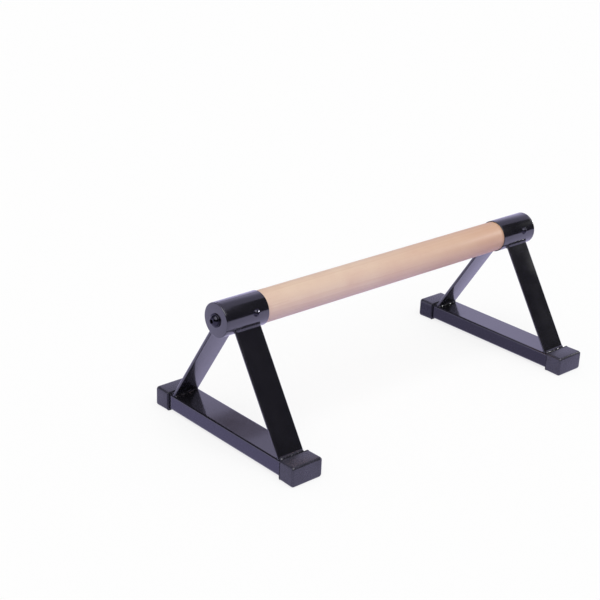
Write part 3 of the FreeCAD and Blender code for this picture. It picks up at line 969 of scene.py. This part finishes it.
    def foot_runs(self) -> list[WeldRun]:
        """Root, rail toe and leg toe of the two welds at a rear leg's foot.

        Returns:
            The outer and the inner run.
        """
        sine, cosine, _ = self.leans()
        size = self.weld_size
        up_leg = (-size * sine, size * cosine)
        inner = self.foot_reach - self.leg_thickness / cosine
        return [((self.foot_reach, self.rail_top), (size, 0.0), up_leg),
                ((inner, self.rail_top), (-size, 0.0), up_leg)]

    def crown_runs(self) -> list[WeldRun]:
        """Root, leg toe and sleeve toe of the two welds at a rear leg's top.

        Returns:
            The outer and the inner run.
        """
        sine, cosine, outer = self.leans()
        size, radius = self.weld_size, self.sleeve_radius
        turn = 2 * math.asin(size / radius / 2)
        found = []
        for offset, swing in ((outer, turn), (outer - self.leg_thickness, -turn)):
            seat = math.sqrt(radius ** 2 - offset ** 2)
            reach, drop = seat * sine + offset * cosine, seat * cosine - offset * sine
            angle = math.atan2(-drop, reach) + swing
            toe = (radius * math.cos(angle) - reach, radius * math.sin(angle) + drop)
            found.append(((reach, self.axis_height - drop), (size * sine, -size * cosine), toe))
        return found

    def welds(self, seam: Seam) -> Mesh:
        """Lays the runs of both legs.

        Args:
            seam: What the legs are welded to.

        Returns:
            The beads' mesh.
        """
        low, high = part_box(f"{self.end.word}_base_rail")
        middle = (low.x + high.x) / 2
        runs = self.crown_runs() if seam is Seam.SLEEVE else self.foot_runs()
        spots, toes_a, toes_b = [], [], []
        for face in Face:
            for root, toe_a, toe_b in runs:
                spots.append(Vector((middle, face.value * root[0], root[1])))
                toes_a.append(Vector((0.0, face.value * toe_a[0], toe_a[1])))
                toes_b.append(Vector((0.0, face.value * toe_b[0], toe_b[1])))
        name = f"{self.end.word}_{seam.value}_welds"
        points = point_mesh(f"{name}_roots", spots, toe_a=toes_a, toe_b=toes_b)
        mesh = grow(name, self.welding, points, {
            "Run": self.weld_run, "Pitch": self.weld_pitch, "Ripple": self.weld_ripple[seam],
            "Flatness": self.weld_flatness, "Lumps": self.weld_lumps,
            "Swells": self.weld_swells, "Rounding": self.weld_rounding,
            "Seed": self.weld_seeds[seam, self.end], "Stations": self.weld_stations,
            "Round": self.weld_facets, "Material": self.finishes.bead})
        shape = bmesh.new()
        shape.from_mesh(mesh)
        settle(shape, mesh)
        return mesh

    def dress(self) -> None:
        """Puts the frame's pieces on the object and finishes the nodes that stay."""
        word, looks = self.end.word, self.finishes
        add_piece(f"{word}_sleeve_tube", self.sleeve(), looks.enamel,
                  [f"{word}_sleeve"])
        add_piece(f"{word}_end_disc", self.disc(), looks.enamel,
                  [f"{word}_end_plate"])
        for seam in Seam:
            add_piece(f"{word}_{seam.value}_weld_runs", self.welds(seam), looks.bead,
                      [f"{word}_{seam.value}_welds"])
        for face in Face:
            side = f"{word}_{face.word}"
            add_piece(f"{side}_cap_moulding", self.cap(face), looks.rubber,
                      [f"{side}_foot_cap"])
            add_piece(f"{side}_leg_flat", self.leg(face), looks.enamel,
                      [f"{side}_leg"])
        dress_node(f"{word}_base_rail", looks.enamel)


@dataclass
class Fasteners:
    """Bolts, washers, side screws and bushes."""

    finishes: Finishes
    setting: NodeTree
    facets: int = 72
    axis_height: float = 165 * MM
    # end bolt and washer
    plate_face: float = 272.5 * MM
    washer_radius: float = 8.5 * MM
    washer_bore: float = 4.25 * MM
    washer_thickness: float = 1.6 * MM
    washer_edge: float = 0.35 * MM
    washer_rim_steps: int = 4
    washer_bore_steps: int = 3
    bolt_radius: float = 4 * MM
    bolt_length: float = 20 * MM
    head_radius: float = 7 * MM
    head_height: float = 4.4 * MM
    head_rim: float = 0.5 * MM
    crown_radius: float = 3.7 * MM
    dome_radius: float = 7.5 * MM
    dome_steps: int = 8
    socket_half: float = 2.5 * MM
    socket_depth: float = 2.6 * MM
    # side screw, set out by millimetres along the grip and degrees about it
    screw_spots: tuple[Point, ...] = (
        (-228.5, 75.0), (-250.5, -75.0), (250.5, 75.0), (228.5, -75.0))
    sleeve_radius: float = 21.2 * MM
    screw_radius: float = 2.1 * MM
    screw_length: float = 13 * MM
    screw_head_radius: float = 4.75 * MM
    screw_head_height: float = 3.2 * MM
    # circles on the dome as shares of the head's radius, and the recess with its narrower floor
    screw_dome_shares: tuple[float, ...] = (0.97, 0.92, 0.84, 0.74, 0.62)
    recess_reach: float = 2.3 * MM
    recess_half: float = 0.6 * MM
    recess_depth: float = 1.7 * MM
    recess_floor_share: float = 0.6

    def bolt(self) -> Mesh:
        """A button-headed bolt with a hexagon socket, its seat at zero and its head along Z.

        Returns:
            The bolt's mesh.
        """
        rise = self.head_height
        # The dome passes through the rim and the crown
        rim, crown = Vector((self.head_radius, self.head_rim)), Vector((self.crown_radius, rise))
        half_chord = (crown - rim) / 2
        inwards = Vector((-half_chord.y, half_chord.x)).normalized()
        depth = math.sqrt(self.dome_radius ** 2 - half_chord.length_squared)
        centre = rim + half_chord + inwards * depth
        angles = [math.degrees(math.atan2(*(point - centre).yx)) for point in (rim, crown)]
        profile = [(self.bolt_radius, -self.bolt_length), (self.bolt_radius, 0.0),
                   (self.head_radius - self.head_rim, 0.0)]
        profile += arc(tuple(centre), self.dome_radius, *angles, self.dome_steps)
        rings = turned_rings(profile, self.facets)
        sixth = math.pi / 3
        for height in (rise, rise - self.socket_depth):
            rings.append(polar_ring(lambda angle: (
                self.socket_half / math.cos((angle + sixth / 2) % sixth - sixth / 2), height),
                self.facets))
        return loft("bolt", rings)

    def washer(self) -> Mesh:
        """A flat washer with eased edges, lying on zero.

        Returns:
            The washer's mesh.
        """
        outer, bore = self.washer_radius, self.washer_bore
        thick, edge = self.washer_thickness, self.washer_edge
        profile = [(bore, 0.0), (outer, 0.0)]
        profile += arc((outer - edge, thick - edge), edge, 0, 90, self.washer_rim_steps)
        profile += arc((bore + edge, thick - edge), edge, 90, 180, self.washer_bore_steps)
        return loft("washer", turned_rings(profile, self.facets), wrap=True)

    def screw_dome(self, radius: float) -> float:
        """The height of the screw's dome at a radius, from the grip's axis."""
        wide, rise = self.screw_head_radius, self.screw_head_height
        ball = (wide ** 2 / rise + rise) / 2
        return self.sleeve_radius + rise - ball + math.sqrt(ball ** 2 - radius ** 2)

    def recess(self, angle: float) -> float:
        """The outline of the screw's cross recess.

        Args:
            angle: Where round the screw, in radians.

        Returns:
            How far the recess reaches from the screw's middle there.
        """
        off_arm = abs((angle + math.pi / 4) % (math.pi / 2) - math.pi / 4)
        if math.tan(off_arm) <= self.recess_half / self.recess_reach:
            return self.recess_reach / math.cos(off_arm)
        return self.recess_half / math.sin(off_arm)

    def screw(self) -> Mesh:
        """A dome-headed screw with a cross recess, measured from the grip's axis along Z.

        Returns:
            The screw's mesh.
        """
        seat, wide = self.sleeve_radius, self.screw_head_radius
        profile = [(self.screw_radius, seat - self.screw_length), (self.screw_radius, seat),
                   (wide, seat)]
        profile += [(wide * share, self.screw_dome(wide * share))
                    for share in self.screw_dome_shares]
        floor = seat + self.screw_head_height - self.recess_depth
        rings = turned_rings(profile, self.facets)
        rings.append(polar_ring(
            lambda angle: (self.recess(angle), self.screw_dome(self.recess(angle))), self.facets))
        rings.append(polar_ring(
            lambda angle: (self.recess_floor_share * self.recess(angle), floor), self.facets))
        return loft("screw", rings)

    def set_out(self, name: str, template: Mesh, spots: Sequence[Vector],
                turns: Sequence[Vector], node: str) -> None:
        """Copies one fastener to all its places and puts them on the object.

        Args:
            name: The set's name.
            template: One fastener's mesh.
            spots: Where each goes.
            turns: How each is turned.
            node: The CAD node that the set stands for.
        """
        oxide = self.finishes.oxide
        model = new_object(f"{name}_template", template)
        points = point_mesh(f"{name}_spots", spots, turn=turns)
        mesh = grow(name, self.setting, points, {"Template": model, "Material": oxide})
        bpy.data.objects.remove(model)
        add_piece(name, mesh, oxide, [node])

    def dress(self) -> None:
        """Puts all fasteners on the object."""
        outwards = [Vector((0.0, end.value * math.pi / 2, 0.0)) for end in End]
        seat = self.plate_face + self.washer_thickness
        seats = [Vector((end.value * seat, 0, self.axis_height)) for end in End]
        faces = [Vector((end.value * self.plate_face, 0, self.axis_height)) for end in End]
        self.set_out("end_bolt_set", self.bolt(), seats, outwards, "end_bolts")
        self.set_out("end_washer_set", self.washer(), faces, outwards, "end_washers")
        spots = [Vector((place * MM, 0, self.axis_height)) for place, _ in self.screw_spots]
        swings = [Vector((math.radians(swing), 0, 0)) for _, swing in self.screw_spots]
        self.set_out("sleeve_screw_set", self.screw(), spots, swings, "sleeve_screws")
        dress_node("insert_nuts", self.finishes.zinc)


# Studio


@dataclass(frozen=True)
class Card:
    """An upright card that only gloss shows, a painted reflection, by its colour and two opposite
    corners.
    """

    colour: str
    low: Place
    high: Place


@dataclass
class Studio:
    """Pale floor, white surroundings, soft light from above and the camera."""

    # what the lens sees, and the cool white that the room throws on the object
    white: str = "#ffffff"
    cool: str = "#dcd6ff"
    ambient: float = 0.45
    floor_half: float = 6.0
    # how much of the floor glows by itself, for the lens and in gloss; the rest keeps the shadow
    camera_glow: float = 0.8
    gloss_glow: float = 0.4
    # how bright the ceiling is in gloss, and between which slopes the room dims to that
    ceiling: float = 0.42
    ceiling_span: Span = (0.42, 0.68)
    soft_strength: float = 1.75
    soft_angle: float = 64.0
    soft_from: Place = (-0.2, -0.4, 0.9)
    glint_place: Place = (1.5, -0.3, 0.55)
    glint_size: float = 0.12
    glint_power: float = 7.0
    # painted reflections that only gloss shows: black at the right, behind the camera, at the
    # front left and high at the back; dusky where the near rail's top looks; and a low bluish one
    # beside each rail, which paints a darker reflection on its side
    cards: tuple[Card, ...] = (
        Card("#000000", (1.6, -2.4, 0.02), (1.6, -0.25, 2.6)),
        Card("#000000", (-2.6, -2.4, 0.02), (1.6, -2.4, 2.2)),
        Card("#000000", (-2.6, -2.4, 0.02), (-2.6, -0.2, 2.2)),
        Card("#000000", (-2.6, 2.3, 1.1), (-0.3, 2.3, 3.0)),
        Card("#4c3c44", (0.2, 0.9, 0.612), (0.8, 0.9, 0.7)),
        Card("#aba5d6", (-0.2655, -0.1035, 0.0005), (-0.2655, 0.1105, 0.0205)),
        Card("#8e88b0", (0.2135, -0.1035, 0.0005), (0.2135, 0.17, 0.0205)))
    # camera, as fitted to the photograph's edges
    azimuth: float = -42.41
    elevation: float = 22.76
    roll: float = 2.41
    distance: float = 1.728
    aim: Point = (-0.10558, 0.01622)
    aim_height: float = 0.1
    sensor: float = 36.0
    focal_share: float = 1338.5 / 600

    def surroundings(self, add: Adder) -> tuple[NodeSocket, NodeSocket, NodeSocket]:
        """Tells rays that look at the room from those that carry its light.

        Args:
            add: Adds nodes to a material's or the world's tree.

        Returns:
            Whether the ray comes from the lens, whether it comes from gloss or glass, and the
            room's colour.
        """
        path = add("ShaderNodeLightPath").outputs
        camera = path["Is Camera Ray"]
        mirrored = add("ShaderNodeMath", (path["Is Glossy Ray"], path["Is Transmission Ray"]),
                       operation="MAXIMUM")
        colour = add("ShaderNodeMix", {
            FACTOR: camera, COLOUR_A: linear(self.cool), COLOUR_B: linear(self.white)},
            data_type="RGBA")
        return camera, mirrored.outputs[0], colour.outputs[COLOUR_OUT]

    def world(self) -> None:
        """White round about, with a gentler cool light on the object."""
        world = bpy.data.worlds.new("white_room")
        world.use_nodes = True
        world.node_tree.nodes.clear()
        add = partial(add_node, world.node_tree)
        camera, mirrored, colour = self.surroundings(add)
        looks = add("ShaderNodeMath", (camera, mirrored), operation="MAXIMUM")
        heading = add("ShaderNodeTexCoord").outputs["Object"]
        height = add("ShaderNodeSeparateXYZ", (heading,)).outputs["Z"]
        dimmed = add("ShaderNodeMapRange", (height, *self.ceiling_span, 1.0, self.ceiling))
        level = add("ShaderNodeMath", (dimmed, camera), operation="MAXIMUM")
        lit = add("ShaderNodeBackground", (linear(self.white), self.ambient))
        seen = add("ShaderNodeBackground", (colour, level))
        mixed = add("ShaderNodeMixShader", (looks, lit, seen))
        add("ShaderNodeOutputWorld", (mixed,))
        bpy.context.scene.world = world

    def floor(self) -> None:
        """A pale floor that keeps a soft shadow."""
        half = self.floor_half
        material, add = new_material("pale_floor")
        camera, mirrored, colour = self.surroundings(add)
        lit = add("ShaderNodeBsdfDiffuse", (colour,))
        glow = add("ShaderNodeEmission", (colour, 1.0))
        seen = add("ShaderNodeMath", (camera, self.camera_glow), operation="MULTIPLY")
        share = add("ShaderNodeMath", (mirrored, self.gloss_glow, seen),
                    operation="MULTIPLY_ADD")
        mixed = add("ShaderNodeMixShader", (share, lit, glow))
        add("ShaderNodeOutputMaterial", (mixed,))
        self.stand("studio_floor", material, [
            (-half, -half, 0), (half, -half, 0), (half, half, 0), (-half, half, 0)])

    def gloss_cards(self) -> None:
        """Cards that only the gloss shows, painting reflections: without them the paint would look
        grey all over.
        """
        for count, card in enumerate(self.cards):
            name = f"studio_card_{count}"
            material, add = new_material(name)
            # each card glows in its own colour though it is no lamp: a painted reflection, seen
            # only in gloss
            painted_reflection_glow = add("ShaderNodeEmission", (linear(card.colour), 1.0))
            add("ShaderNodeOutputMaterial", (painted_reflection_glow,))
            (x0, y0, z0), (x1, y1, z1) = card.low, card.high
            board = self.stand(name, material, [
                (x0, y0, z0), (x1, y1, z0), (x1, y1, z1), (x0, y0, z1)])
            for kind in ("camera", "diffuse", "shadow", "transmission", "volume_scatter"):
                setattr(board, f"visible_{kind}", False)

    def stand(self, name: str, material: Material, corners: Sequence[Place]) -> Object:
        """Puts a flat sheet of the studio in the scene.

        Args:
            name: Its name.
            material: Its finish.
            corners: Its corners in order.

        Returns:
            The sheet.
        """
        mesh = bpy.data.meshes.new(name)
        mesh.from_pydata(corners, [], [tuple(range(len(corners)))])
        mesh.materials.append(material)
        sheet = new_object(name, mesh)
        return sheet

    def lamps(self) -> None:
        """A wide soft light from above, and a small one at the right that only gloss shows."""
        soft = bpy.data.lights.new("soft_light", "SUN")
        soft.energy = self.soft_strength
        soft.angle = math.radians(self.soft_angle)
        glint = bpy.data.lights.new("glint_light", "AREA")
        glint.shape = "DISK"
        glint.size = self.glint_size
        glint.energy = self.glint_power
        for light, place in ((soft, self.soft_from), (glint, self.glint_place)):
            lamp = new_object(light.name, light)
            lamp.location = place
            lamp.rotation_euler = Vector(place).to_track_quat("Z", "Y").to_euler()
            lamp.visible_diffuse = light is soft

    def camera(self) -> None:
        """The photograph's viewpoint."""
        azimuth, elevation, roll = map(math.radians, (self.azimuth, self.elevation, self.roll))
        back = Vector((math.sin(azimuth) * math.cos(elevation),
                       -math.cos(azimuth) * math.cos(elevation), math.sin(elevation)))
        right = Vector((math.cos(azimuth), math.sin(azimuth), 0))
        up = back.cross(right)
        target = Vector((0, 0, self.aim_height)) + right * self.aim[0] + up * self.aim[1]
        level = right * math.cos(roll) + up * math.sin(roll)
        plumb = up * math.cos(roll) - right * math.sin(roll)
        data = bpy.data.cameras.new("camera")
        data.sensor_width = self.sensor
        data.lens = self.sensor * self.focal_share
        camera = new_object("camera", data)
        turned = Matrix((level, plumb, back)).transposed().to_4x4()
        camera.matrix_world = Matrix.Translation(target + back * self.distance) @ turned
        bpy.context.scene.camera = camera

    def build(self) -> None:
        """Sets the whole studio up."""
        self.world()
        self.floor()
        self.gloss_cards()
        self.lamps()
        self.camera()
        bpy.context.scene.view_settings.view_transform = "Standard"
        LOG.info("studio: floor, cards, two lamps and camera")


def main() -> None:
    """Builds the object's pieces and the studio."""
    logging.basicConfig(level=logging.INFO, format="%(name)s %(message)s")
    finishes = Finishes()
    Grip(finishes).dress()
    welding = weld_tree()
    for end in End:
        EndFrame(end, finishes, welding).dress()
    Fasteners(finishes, set_out_tree()).dress()
    Studio().build()


if __name__ == "__main__":
    main()
